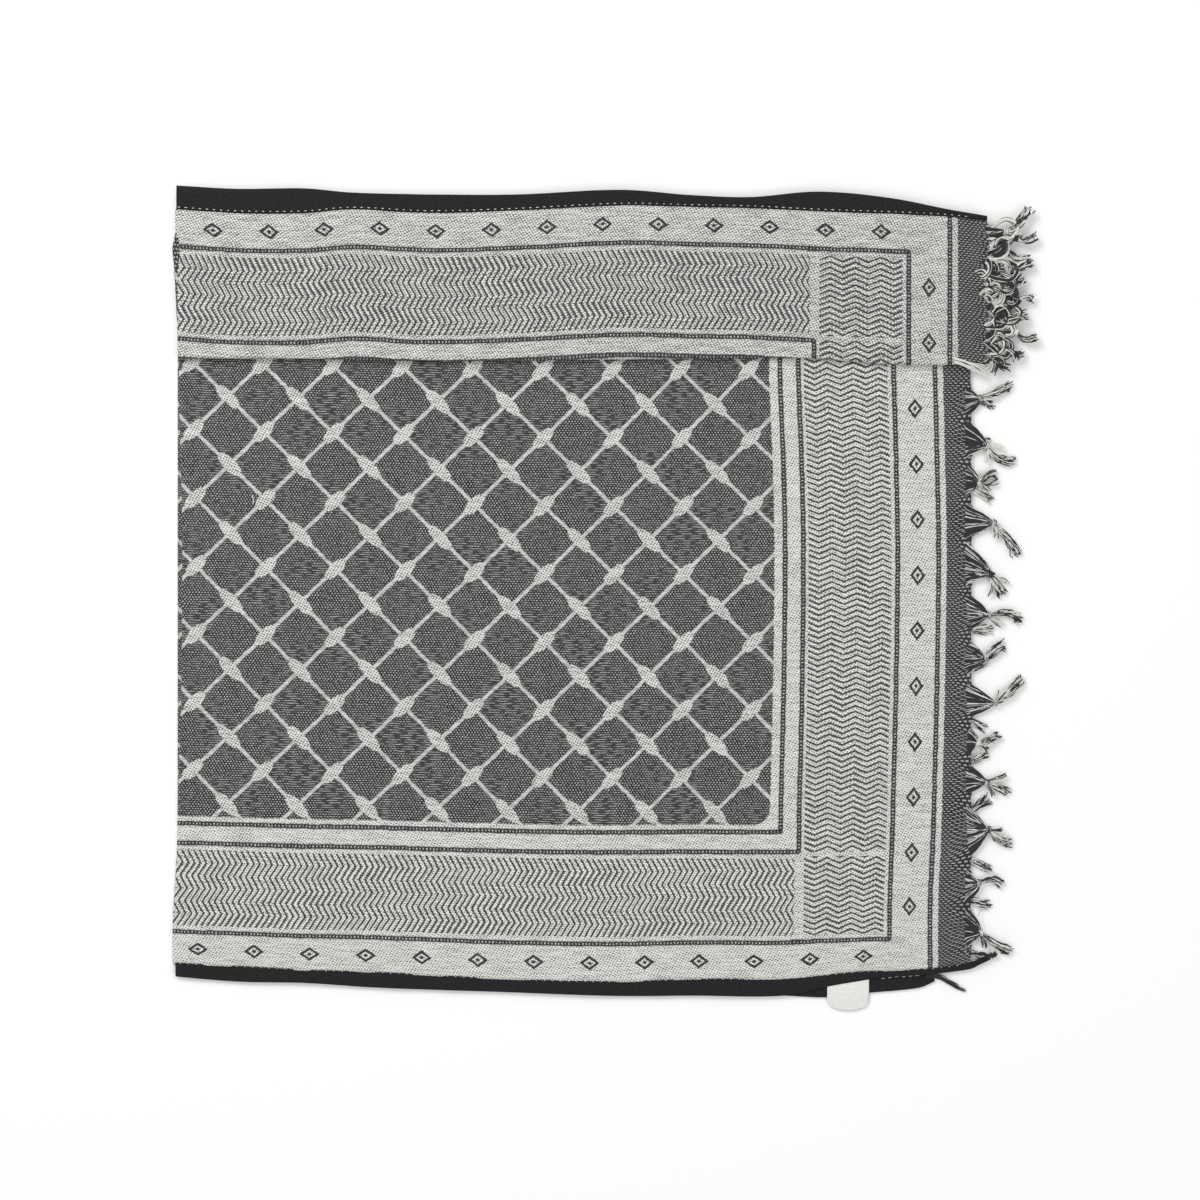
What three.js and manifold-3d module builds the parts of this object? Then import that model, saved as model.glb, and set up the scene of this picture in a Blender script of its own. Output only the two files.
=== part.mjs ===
// A woven keffiyeh headscarf, folded flat on a table.
//
// The square of cloth is folded in half down its centre line, which is the left edge here.
// Its upper border is pleated back and turned over, so that a strip of it lies face up across
// the top. The warp ends are knotted into tassels on the right, and a small label is sewn to
// the selvage of the back half, at the lower right.
// Millimetres, +Z up, +X towards the tassels, +Y towards the turned-over strip.
// Every table below counts x from the centre fold and y from the lower selvage.

import * as THREE from "three";
import Module from "manifold-3d";
import { mergeVertices } from "three/addons/utils/BufferGeometryUtils.js";

const wasm = await Module();
wasm.setup();

// Driving dimensions of the folded scarf.
const foldedWidth = 600; // from the centre fold to the roots of the tassels
const stripEnd = 612; // where the turned-over strip ends, a little past the layers below it
const backWidth = 573; // the back half ends short of the front half
const wall = 1.2; // one layer of the woven cloth
const gap = 0.3; // clear space between pieces that touch
const turnRadius = 1.5; // the cloth's middle line where it turns down at the centre fold
const turnTail = 0.4; // straight cloth below that turn
const lipDepth = 3.5; // cloth turned under the lower edge of the strip
const pleatStart = 7; // from the strip's lower edge to the hidden pleats
const pleatInset = 4; // from the strip's upper edge to the hidden pleats
const pleatEnd = 606; // right end of the hidden pleats
const pleatHeight = 6.8; // top of the hidden pleats at the centre fold
const pleatSlope = 0.0015; // how much lower they lie for each millimetre to the right
const pleatCount = 5; // folded layers that show round their edge
const pleatGroove = 1.0; // depth of the grooves between those layers

// Heights of the layers' middle surfaces above the table.
const backMiddle = wall / 2;
const frontMiddle = backMiddle + wall + gap;
const lipMiddle = frontMiddle + wall + gap;

// The lower border of the front half: its free edge, and the seam line where the black
// selvage meets the patterned cloth.
const lowerBorder = [
  { x: -3, edge: 7.0, seam: 16.7 },
  { x: 46, edge: 3.0, seam: 14.2 },
  { x: 97, edge: 2.0, seam: 11.4 },
  { x: 148, edge: -1.4, seam: 9.8 },
  { x: 244, edge: -4.8, seam: 4.8 },
  { x: 331, edge: -7.8, seam: 2.5 },
  { x: 392, edge: -7.6, seam: 4.5 },
  { x: 459, edge: -7.6, seam: 4.8 },
  { x: 495, edge: 0.0, seam: 8.0 },
  { x: 524, edge: 5.3, seam: 10.3 },
  { x: 566, edge: 8.4, seam: 12.0 },
  { x: 600, edge: 12.6, seam: 16.8 },
];

// The same two lines on the back half, which shows past the front half near the label.
const backBorder = [
  { x: 0, edge: 8.5, seam: 17.5 },
  { x: 97, edge: 3.5, seam: 12.5 },
  { x: 244, edge: -3.3, seam: 6.0 },
  { x: 331, edge: -6.3, seam: 3.8 },
  { x: 459, edge: -7.9, seam: 5.5 },
  { x: 492, edge: -9.1, seam: 7.0 },
  { x: 524, edge: -5.7, seam: 9.0 },
  { x: 562, edge: -1.8, seam: 11.0 },
  { x: 573, edge: 3.0, seam: 13.0 },
];

// The upper border of the turned-over strip.
const upperBorder = [
  { x: 0, edge: 604.5, seam: 587.4 },
  { x: 46, edge: 602.0, seam: 584.4 },
  { x: 97, edge: 602.3, seam: 584.4 },
  { x: 131, edge: 599.3, seam: 587.2 },
  { x: 190, edge: 597.8, seam: 584.6 },
  { x: 257, edge: 597.8, seam: 586.4 },
  { x: 336, edge: 601.3, seam: 590.3 },
  { x: 387, edge: 597.4, seam: 589.2 },
  { x: 433, edge: 595.8, seam: 588.3 },
  { x: 484, edge: 600.0, seam: 585.8 },
  { x: 538, edge: 595.3, seam: 584.0 },
  { x: 583, edge: 586.5, seam: 581.8 },
  { x: 612, edge: 581.5, seam: 578.3 },
];

// The lower edge of the strip, where the cloth turns under.
const turnedEdge = [
  { x: 0, y: 474.5 },
  { x: 92, y: 474.5 },
  { x: 191, y: 472.8 },
  { x: 336, y: 474.0 },
  { x: 471, y: 475.0 },
  { x: 540, y: 470.2 },
  { x: 585, y: 470.0 },
  { x: 612, y: 472.0 },
];

// The centre fold as it wanders: the front half, the strip, and the pleats under the strip,
// which bulge out past it.
const frontFold = [
  { y: 0, x: -3.0 },
  { y: 42, x: -3.4 },
  { y: 102, x: -0.2 },
  { y: 140, x: 0.5 },
  { y: 216, x: 3.0 },
  { y: 292, x: 3.8 },
  { y: 367, x: 3.5 },
  { y: 443, x: 1.5 },
  { y: 480, x: 1.3 },
];
const stripFold = [
  { y: 470, x: 1.5 },
  { y: 485, x: 0.8 },
  { y: 534, x: 0.8 },
  { y: 560, x: 2.3 },
  { y: 572, x: -0.7 },
  { y: 604, x: -0.9 },
];
const pleatFold = [
  { y: 480, x: 2.0 },
  { y: 488, x: 0.0 },
  { y: 519, x: -1.1 },
  { y: 537, x: -2.3 },
  { y: 557, x: -4.0 },
  { y: 570, x: -3.2 },
  { y: 577, x: 0.6 },
  { y: 600, x: 1.5 },
];

// Fold lines pressed into the cloth, running from the lower edge to the upper one.
const creases = [
  { x: 90, rise: 0.6, width: 8 },
  { x: 300, rise: 0.25, width: 22 },
  { x: 452, rise: 0.3, width: 30 },
];

const creaseFade = 40;

// The tassels: where they start and end along y, how far their tips and the hollows between
// them reach, and the space from one to the next.
const frontTassels = { from: 18, to: 466, root: 600.4, hollow: 635, tip: 641, pitch: 34.4 };
const backTassels = { from: 10, to: 464, root: 573.4, hollow: 615, tip: 620, pitch: 36 };
const stripTassels = { from: 475, to: 574, root: 612.4, hollow: 646, tip: 651, pitch: 22 };

// The sewn-in label: its sides, the lowest point of its round lower edge, the line where it
// leaves the back selvage, and its space from the front selvage.
const label = {
  left: 492,
  right: 523.5,
  side: -12.5,
  lowest: -19.7,
  landed: -10.5,
  clear: 1.2,
  wall: 1.0,
};

const cloth = { color: 0x8c8d8e, roughness: 0.9, metalness: 0 };
const blackCloth = { color: 0x29292e, roughness: 0.85, metalness: 0 };
const yarn = { color: 0x77777a, roughness: 0.9, metalness: 0 };
const labelCloth = { color: 0xe4e4e0, roughness: 0.7, metalness: 0 };

// Reads a column of a table at any place, as a smooth curve through its rows.
function along(table, column, place, at) {
  const last = table.length - 1;
  const spot = THREE.MathUtils.clamp(at, table[0][place], table[last][place]);
  let i = 1;
  while (i < last && table[i][place] < spot) i += 1;
  const slope = (j) => {
    const [before, after] = [table[Math.max(j - 1, 0)], table[Math.min(j + 1, last)]];
    return (after[column] - before[column]) / (after[place] - before[place]);
  };
  const span = table[i][place] - table[i - 1][place];
  const t = (spot - table[i - 1][place]) / span;
  const ease = t * t * (3 - 2 * t);
  const straight = THREE.MathUtils.lerp(table[i - 1][column], table[i][column], ease);
  const bendIn = t * (1 - t) * (1 - t) * span * slope(i - 1);
  const bendOut = t * t * (t - 1) * span * slope(i);
  return straight + bendIn + bendOut;
}

const steps = (count) => Array.from({ length: count + 1 }, (_, i) => i / count);
const pleatTop = (x) => pleatHeight - pleatSlope * x;
const stripMiddle = (x) => pleatTop(x) + gap + wall / 2;
const creaseRise = (x) =>
  creases.reduce((sum, fold) => sum + fold.rise * Math.exp(-(((x - fold.x) / fold.width) ** 2)), 0);

// Columns of a sheet from left to right: first the turn down at the centre fold, then the
// flat cloth. `run` is measured from the fold, `share` over the flat part, `drop` downwards.
function columns(count) {
  const turn = steps(3).map((t) => {
    const angle = (t * Math.PI) / 2;
    return {
      run: wall / 2 + turnRadius * (1 - Math.cos(angle)),
      share: 0,
      drop: turnRadius * (1 - Math.sin(angle)),
    };
  });
  const tail = { run: wall / 2, share: 0, drop: turnRadius + turnTail };
  const flatStart = wall / 2 + turnRadius;
  const flat = steps(count).slice(1).map((share) => ({ run: flatStart, share, drop: 0 }));
  return [tail, ...turn, ...flat];
}

// Closes two matching grids of points, an upper and a lower one, into one solid. Rows run
// along +Y and columns along +X.
function closedGrid(upper, lower) {
  const [rows, across] = [upper.length, upper[0].length];
  const top = (r, c) => r * across + c;
  const bottom = (r, c) => rows * across + top(r, c);
  const faces = [];
  const quad = (a, b, c, d) => faces.push(a, b, c, a, c, d);
  for (let r = 0; r < rows - 1; r += 1) {
    for (let c = 0; c < across - 1; c += 1) {
      quad(top(r, c), top(r, c + 1), top(r + 1, c + 1), top(r + 1, c));
      quad(bottom(r, c), bottom(r + 1, c), bottom(r + 1, c + 1), bottom(r, c + 1));
    }
    quad(top(r, 0), top(r + 1, 0), bottom(r + 1, 0), bottom(r, 0));
    const end = across - 1;
    quad(bottom(r, end), bottom(r + 1, end), top(r + 1, end), top(r, end));
  }
  for (let c = 0; c < across - 1; c += 1) {
    quad(bottom(0, c), bottom(0, c + 1), top(0, c + 1), top(0, c));
    const end = rows - 1;
    quad(top(end, c), top(end, c + 1), bottom(end, c + 1), bottom(end, c));
  }
  const geometry = new THREE.BufferGeometry().setFromPoints([...upper.flat(), ...lower.flat()]);
  geometry.setIndex(faces);
  geometry.computeVertexNormals();
  return geometry;
}

// Gives a grid of points on the cloth's middle surface its thickness.
function sheet(middle, thickness) {
  const [lastRow, lastColumn] = [middle.length - 1, middle[0].length - 1];
  const shifted = (side) =>
    middle.map((row, r) =>
      row.map((point, c) => {
        const alongX = row[Math.min(c + 1, lastColumn)].clone().sub(row[Math.max(c - 1, 0)]);
        const alongY = middle[Math.min(r + 1, lastRow)][c].clone();
        alongY.sub(middle[Math.max(r - 1, 0)][c]);
        const normal = alongX.cross(alongY).normalize();
        return point.clone().addScaledVector(normal, (side * thickness) / 2);
      }),
    );
  return closedGrid(shifted(1), shifted(-1));
}

// A sheet of the front half between two lines across it. Its creases fade out where the
// strip presses on them.
function frontSheet(rowCount, lowerLine, upperLine) {
  const rows = steps(rowCount).map((up) =>
    columns(18).map(({ run, share, drop }) => {
      const nominal = share * foldedWidth;
      const y = THREE.MathUtils.lerp(lowerLine(nominal), upperLine(nominal), up);
      const start = along(frontFold, "x", "y", y) + run;
      const x = THREE.MathUtils.lerp(start, foldedWidth, share);
      const pressed = THREE.MathUtils.smoothstep(turnedEdge[0].y - y, 0, creaseFade);
      return new THREE.Vector3(x, y, frontMiddle + creaseRise(x) * pressed - drop);
    }),
  );
  return sheet(rows, wall);
}

function frontPanel() {
  const lower = (x) => along(lowerBorder, "seam", "x", x) + gap / 2;
  const upper = (x) => along(turnedEdge, "y", "x", x) + pleatStart - 2;
  return frontSheet(14, lower, upper);
}

function frontSelvage() {
  const lower = (x) => along(lowerBorder, "edge", "x", x);
  const upper = (x) => along(lowerBorder, "seam", "x", x) - gap / 2;
  return frontSheet(2, lower, upper);
}

// The strip from its turned-under lip, round its lower edge and up to the selvage's seam.
function borderStrip() {
  const turn = steps(6).map((t) => ({ angle: -Math.PI / 2 - t * Math.PI, up: 0 }));
  const flat = steps(9).slice(1).map((up) => ({ angle: null, up }));
  const rows = [{ angle: null, up: -1 }, ...turn, ...flat].map(({ angle, up }) =>
    columns(20).map(({ run, share, drop }) => {
      const nominal = share * stripEnd;
      const radius = (stripMiddle(nominal) - lipMiddle) / 2;
      const turnY = along(turnedEdge, "y", "x", nominal) + wall / 2 + radius;
      const seamY = along(upperBorder, "seam", "x", nominal) - gap / 2;
      let y = up < 0 ? turnY + lipDepth : THREE.MathUtils.lerp(turnY, seamY, up);
      let rise = up < 0 ? -1 : 1;
      if (angle !== null) {
        y = turnY + radius * Math.cos(angle);
        rise = Math.sin(angle);
      }
      const start = along(stripFold, "x", "y", y) + run;
      const x = THREE.MathUtils.lerp(start, stripEnd, share);
      const height = lipMiddle + radius * (1 + rise);
      const lifted = (1 + rise) / 2;
      return new THREE.Vector3(x, y, height - drop * lifted + creaseRise(x) * lifted);
    }),
  );
  return sheet(rows, wall);
}

function stripSelvage() {
  const rows = steps(2).map((up) =>
    columns(20).map(({ run, share, drop }) => {
      const nominal = share * stripEnd;
      const seam = along(upperBorder, "seam", "x", nominal) + gap / 2;
      const y = THREE.MathUtils.lerp(seam, along(upperBorder, "edge", "x", nominal), up);
      const start = along(stripFold, "x", "y", y) + run;
      const x = THREE.MathUtils.lerp(start, stripEnd, share);
      return new THREE.Vector3(x, y, stripMiddle(x) + creaseRise(x) - drop);
    }),
  );
  return sheet(rows, wall);
}

function backSelvage() {
  const start = along(frontFold, "x", "y", 0) + wall + gap;
  const rows = steps(2).map((up) =>
    steps(24).map((share) => {
      const x = THREE.MathUtils.lerp(start, backWidth, share);
      const lower = along(backBorder, "edge", "x", x);
      const upper = along(backBorder, "seam", "x", x) - gap / 2;
      return new THREE.Vector3(x, THREE.MathUtils.lerp(lower, upper, up), backMiddle);
    }),
  );
  return sheet(rows, wall);
}

// Stacks outlines of equal length into one solid, closed at its ends. Each level is a list of
// points that goes round anticlockwise, and the levels go up.
function lofted(levels) {
  const size = levels[0].length;
  const flat = levels[0].map((point) => new THREE.Vector2(point.x, point.y));
  const caps = THREE.ShapeUtils.triangulateShape(flat, []);
  const topStart = (levels.length - 1) * size;
  const faces = [];
  caps.forEach(([a, b, c]) => faces.push(c, b, a, topStart + a, topStart + b, topStart + c));
  for (let level = 0; level < levels.length - 1; level += 1) {
    for (let i = 0; i < size; i += 1) {
      const [a, b] = [level * size + i, level * size + ((i + 1) % size)];
      faces.push(a, b, b + size, a, b + size, a + size);
    }
  }
  const geometry = new THREE.BufferGeometry().setFromPoints(levels.flat());
  geometry.setIndex(faces);
  return geometry;
}

// An outline moved inwards by a small amount, at a height that may change with x.
function levelOf(outline, inset, height) {
  return outline.map((point, i) => {
    const before = outline.at(i - 1);
    const after = outline[(i + 1) % outline.length];
    const inwards = new THREE.Vector2(before.y - after.y, after.x - before.x).normalize();
    const moved = point.clone().addScaledVector(inwards, inset);
    return new THREE.Vector3(moved.x, moved.y, height(moved.x));
  });
}

function asSolid(geometry) {
  const bare = geometry.clone();
  bare.deleteAttribute("normal");
  const merged = mergeVertices(bare);
  const vertProperties = new Float32Array(merged.attributes.position.array);
  const triVerts = new Uint32Array(merged.index.array);
  return new wasm.Manifold(new wasm.Mesh({ numProp: 3, vertProperties, triVerts }));
}

function asGeometry(solid) {
  const mesh = solid.getMesh();
  const geometry = new THREE.BufferGeometry();
  geometry.setAttribute("position", new THREE.BufferAttribute(mesh.vertProperties, 3));
  geometry.setIndex(new THREE.BufferAttribute(mesh.triVerts, 1));
  geometry.computeVertexNormals();
  return geometry;
}

// What the front half and the strip hide, as one solid: the back half, which lies flat on the
// table, and the stack of pleats under the strip, grooved round its edge between its layers.
function innerLayers() {
  const clear = wall + gap;
  const tuck = clear + 2 * gap;
  const across = (from, to, count, y) =>
    steps(count).map((t) => {
      const x = THREE.MathUtils.lerp(from, to, t);
      return new THREE.Vector2(x, y(x));
    });
  const up = (from, to, count, x) =>
    steps(count).map((t) => {
      const y = THREE.MathUtils.lerp(from, to, t);
      return new THREE.Vector2(x(y), y);
    });

  const backLower = (x) => along(backBorder, "seam", "x", x) + gap / 2;
  const backUpper = (x) => along(turnedEdge, "y", "x", x) + pleatStart * 3;
  const backLeft = (y) => along(frontFold, "x", "y", y) + clear;
  const backOutline = [
    ...across(backLeft(backLower(0)), backWidth, 20, backLower),
    ...across(backWidth, backLeft(480), 10, backUpper),
    ...up(backUpper(0), backLower(0), 12, backLeft).slice(1, -1),
  ];
  const thin = wall / 4;
  const back = lofted([
    levelOf(backOutline, thin, () => 0),
    levelOf(backOutline, 0, () => thin),
    levelOf(backOutline, 0, () => wall - thin),
    levelOf(backOutline, thin, () => wall),
  ]);

  const pleatLower = (x) => along(turnedEdge, "y", "x", x) + pleatStart;
  const pleatUpper = (x) => along(upperBorder, "edge", "x", x) - pleatInset;
  const pleatLeft = (y) => along(pleatFold, "x", "y", y);
  const pleatOutline = [
    ...across(pleatLeft(480) + 2, pleatEnd, 16, pleatLower),
    ...across(pleatEnd - 2, pleatLeft(600) + 2, 20, pleatUpper),
    ...up(pleatUpper(0) - 2, pleatLower(0) + 2, 14, pleatLeft),
  ];
  // The topmost layer starts inside the strip's own turn at the centre fold.
  const tuckedOutline = pleatOutline.map(
    ({ x, y }) => new THREE.Vector2(Math.max(x, along(stripFold, "x", "y", y) + tuck), y),
  );
  const layer = 1 / pleatCount;
  const levels = [{ outline: pleatOutline, inset: pleatGroove / 2, share: 0 }];
  for (let i = 0; i < pleatCount; i += 1) {
    const topmost = i === pleatCount - 1;
    const outline = topmost ? tuckedOutline : pleatOutline;
    const groove = topmost ? pleatGroove / 2 : pleatGroove;
    levels.push({ outline, inset: 0, share: (i + (topmost ? 0.1 : 0.3)) * layer });
    levels.push({ outline, inset: 0, share: (i + 0.7) * layer });
    levels.push({ outline, inset: groove, share: (i + 1) * layer });
  }
  const pleats = lofted(
    levels.map(({ outline, inset, share }) =>
      levelOf(outline, inset, (x) => share * pleatTop(x)),
    ),
  );
  return asGeometry(asSolid(back).add(asSolid(pleats)));
}

// The reach of a row of tassels as one plain solid, with a shallow wave for each tassel.
function tassels({ from, to, root, hollow, tip, pitch }, topAt, bottomAt) {
  const count = Math.round((to - from) / pitch);
  const grid = (heightAt) =>
    steps(count * 6).map((t) => {
      const swing = Math.sin(t * count * Math.PI) ** 2;
      const end = THREE.MathUtils.lerp(hollow, tip, swing);
      const y = THREE.MathUtils.lerp(from, to, t);
      return steps(3).map((share) => {
        const x = THREE.MathUtils.lerp(root, end, share);
        return new THREE.Vector3(x, y, heightAt(x));
      });
    });
  return closedGrid(grid(topAt), grid(bottomAt));
}

const easedDrop = (x, from, to, high, low) =>
  THREE.MathUtils.lerp(high, low, THREE.MathUtils.smoothstep(x, from, to));

function frontFringe() {
  const bottom = (x) => easedDrop(x, backTassels.tip + 2, frontTassels.tip, wall + gap, gap);
  return tassels(frontTassels, (x) => bottom(x) + 1.5, bottom);
}

function backFringe() {
  const half = (x) => easedDrop(x, backTassels.hollow, backTassels.tip, wall, wall * 0.8);
  return tassels(backTassels, half, () => 0);
}

function stripFringe() {
  const { root, tip } = stripTassels;
  const top = (x) => easedDrop(x, root, tip, pleatTop(root) + wall, 2.5);
  const bottom = (x) => easedDrop(x, root, tip, 1.5, gap);
  return tassels(stripTassels, top, bottom);
}

// The label lies on the back selvage and bends down to the table past its edge.
function sewnLabel() {
  const landedHeight = wall + gap + label.wall / 2;
  const rows = steps(6).map((down) =>
    steps(6).map((share) => {
      const x = THREE.MathUtils.lerp(label.left, label.right, share);
      const top = along(lowerBorder, "edge", "x", x) - label.clear;
      const round = Math.sqrt(1 - (2 * share - 1) ** 2);
      const bottom = THREE.MathUtils.lerp(label.side, label.lowest, round);
      const y = THREE.MathUtils.lerp(bottom, top, down);
      const fall = THREE.MathUtils.smoothstep(label.landed - y, 0, label.landed - label.lowest);
      const height = THREE.MathUtils.lerp(landedHeight, label.wall / 2 + gap / 2, fall);
      return new THREE.Vector3(x, y, height);
    }),
  );
  return sheet(rows, label.wall);
}

function piece(name, geometry, finish) {
  const mesh = new THREE.Mesh(geometry, new THREE.MeshStandardMaterial(finish));
  mesh.name = name;
  return mesh;
}

// The scarf, with its origin at the middle of its footprint on the table.
const scarf = new THREE.Group();
scarf.add(
  piece("inner_layers", innerLayers(), cloth),
  piece("front_panel", frontPanel(), cloth),
  piece("front_selvage", frontSelvage(), blackCloth),
  piece("border_strip", borderStrip(), cloth),
  piece("strip_selvage", stripSelvage(), blackCloth),
  piece("back_selvage", backSelvage(), blackCloth),
  piece("fringe_front", frontFringe(), yarn),
  piece("fringe_back", backFringe(), yarn),
  piece("fringe_strip", stripFringe(), yarn),
  piece("label", sewnLabel(), labelCloth),
);
const footprint = new THREE.Box3().setFromObject(scarf).getCenter(new THREE.Vector3());
scarf.position.set(-footprint.x, -footprint.y, 0);

const group = new THREE.Group();
group.add(scarf);

export default group;
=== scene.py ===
# %% [markdown]
# # A folded keffiyeh headscarf
# The real thing is one square of cotton, woven on a loom that lifts black and off-white yarns
# in turn: a net of light lines over a dark ground, framed by lines, herringbone and zigzag
# borders. The warp ends are knotted into tassels, and two edges carry a plain black selvage.
# Here it lies folded in half, with its upper border pleated back and turned face up.
# The frame holds the sizes, and this lesson adds what the eye sees: thin cloth, its weave,
# and every yarn of the fringe.

# %% Load the frame
import math
import random

import bpy
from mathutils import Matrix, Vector


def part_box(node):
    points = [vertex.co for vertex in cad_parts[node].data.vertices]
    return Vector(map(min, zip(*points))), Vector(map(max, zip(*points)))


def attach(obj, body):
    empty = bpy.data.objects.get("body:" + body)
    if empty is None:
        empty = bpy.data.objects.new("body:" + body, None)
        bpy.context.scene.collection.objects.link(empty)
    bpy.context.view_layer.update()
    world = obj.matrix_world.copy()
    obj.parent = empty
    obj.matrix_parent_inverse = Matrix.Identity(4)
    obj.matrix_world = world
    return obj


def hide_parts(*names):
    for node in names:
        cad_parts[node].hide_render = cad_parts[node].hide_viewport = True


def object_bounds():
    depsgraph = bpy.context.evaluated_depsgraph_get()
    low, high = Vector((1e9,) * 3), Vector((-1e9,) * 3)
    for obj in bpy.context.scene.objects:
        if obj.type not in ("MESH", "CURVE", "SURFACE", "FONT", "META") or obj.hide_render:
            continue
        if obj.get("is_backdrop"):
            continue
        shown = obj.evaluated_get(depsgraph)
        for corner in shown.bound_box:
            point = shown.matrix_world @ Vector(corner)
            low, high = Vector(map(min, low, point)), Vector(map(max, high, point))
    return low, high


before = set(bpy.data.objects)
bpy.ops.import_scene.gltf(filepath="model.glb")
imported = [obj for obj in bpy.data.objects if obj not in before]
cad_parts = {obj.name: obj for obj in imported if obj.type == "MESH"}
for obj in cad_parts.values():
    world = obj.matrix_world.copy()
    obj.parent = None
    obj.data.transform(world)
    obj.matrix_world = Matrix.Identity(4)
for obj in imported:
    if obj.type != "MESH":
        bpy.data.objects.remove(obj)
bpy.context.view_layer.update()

# %% [markdown]
# Sizes are easiest to think of in millimetres on the flat scarf: x from the centre fold to the
# tassels, y from the lower selvage to the turned-over strip, z up from the table. Two boxes of
# the frame tie that sheet of paper to the model: the front panel ends where the tassels start,
# and the lowest tassel starts a known way above the origin of y.

# %% The scarf's own millimetres
FOLDED_WIDTH = 600.0
STRIP_END = 612.0
BACK_WIDTH = 573.0
LOWEST_TASSEL = 18.0
WALL = 1.2
BACK_MIDDLE = 0.6
FRONT_MIDDLE = 2.1
LIP_MIDDLE = 3.6
origin_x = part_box("front_panel")[1].x * 1000 - FOLDED_WIDTH
origin_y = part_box("fringe_front")[0].y * 1000 - LOWEST_TASSEL


def place(x, y, z):
    """A point of the scarf in millimetres, as metres in the frame."""
    return ((origin_x + x) / 1000, (origin_y + y) / 1000, z / 1000)


print("origin of the scarf", round(origin_x, 2), round(origin_y, 2), "mm")

# %% [markdown]
# Hand-folded cloth has no straight edge. Each edge is kept as a short table of places where it
# was measured, and a smooth curve runs through them. This is how a pattern cutter notes a curve.

# %% Edges of the cloth
LOWER_BORDER = {
    "x": [-3, 46, 97, 148, 244, 331, 392, 459, 495, 524, 566, 600, 608, 618],
    "edge": [7.0, 3.0, 2.0, -1.4, -4.8, -7.8, -7.6, -7.6, 0.0, 5.3, 8.4, 12.6, 16.5, 21.0],
    "seam": [16.7, 14.2, 11.4, 9.8, 4.8, 2.5, 4.5, 4.8, 8.0, 10.3, 12.0, 16.8, 20.5, 23.5],
}
BACK_BORDER = {
    "x": [0, 97, 244, 331, 459, 492, 524, 562, 573],
    "edge": [8.5, 3.5, -3.3, -6.3, -7.9, -9.1, -5.7, -1.8, 3.0],
    "seam": [17.5, 12.5, 6.0, 3.8, 5.5, 7.0, 9.0, 11.0, 13.0],
}
UPPER_BORDER = {
    "x": [0, 46, 97, 131, 190, 257, 336, 387, 433, 484, 538, 583, 612],
    "edge": [604.5, 602.0, 602.3, 599.3, 597.8, 597.8, 601.3, 597.4, 595.8, 600.0, 595.3, 586.5, 581.5],
    "seam": [587.4, 584.4, 584.4, 587.2, 584.6, 586.4, 590.3, 589.2, 588.3, 585.8, 584.0, 581.8, 578.3],
}
TURNED_EDGE = {
    "x": [0, 92, 191, 336, 471, 540, 585, 612],
    "y": [474.5, 474.5, 472.8, 474.0, 475.0, 470.2, 470.0, 472.0],
}
FRONT_FOLD = {
    "y": [0, 42, 102, 140, 216, 292, 367, 443, 480],
    "x": [-3.0, -3.4, -0.2, 0.5, 3.0, 3.8, 3.5, 1.5, 1.3],
}
STRIP_FOLD = {"y": [470, 485, 534, 560, 572, 604], "x": [1.5, 0.8, 0.8, 2.3, -0.7, -0.9]}
PLEAT_FOLD = {
    "y": [480, 488, 519, 537, 557, 570, 577, 600],
    "x": [2.0, 0.0, -1.1, -2.3, -4.0, -3.2, 0.6, 1.5],
}


def along(table, column, where):
    """The value of a table's column at a place in its first column, on a smooth curve."""
    places = next(iter(table.values()))
    values = table[column]
    last = len(places) - 1
    where = min(max(where, places[0]), places[last])
    row = max(i for i in range(last) if places[i] <= where)
    step = places[row + 1] - places[row]
    share = (where - places[row]) / step

    def slope(i):
        low, high = max(i - 1, 0), min(i + 1, last)
        return (values[high] - values[low]) / (places[high] - places[low]) * step

    rest = 1 - share
    ends = values[row] * (1 + 2 * share) * rest**2 + values[row + 1] * (3 - 2 * share) * share**2
    return ends + slope(row) * share * rest**2 - slope(row + 1) * rest * share**2


def smooth(low, high, value):
    """0 below low, 1 above high, and an even curve between."""
    share = min(max((value - low) / (high - low), 0), 1)
    return share * share * (3 - 2 * share)


def steps(low, high, size):
    """Numbers from low to high, evenly spaced, about size apart."""
    count = max(1, round((high - low) / size))
    return [low + (high - low) * i / count for i in range(count + 1)]


print("lower seam at the middle", round(along(LOWER_BORDER, "seam", 300), 2), "mm")

# %% [markdown]
# ## Shader maths as sums
# The weave is a long sum of waves and bands. Written node by node it can't be read, so one small
# class wraps a socket: adding or multiplying two of them adds the Math node, and `1 - mask` reads
# as it would on paper. Everything that isn't a sum goes through its one `node` method. Geometry
# Nodes have the same sockets and links, so the same class builds both kinds of tree.

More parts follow.
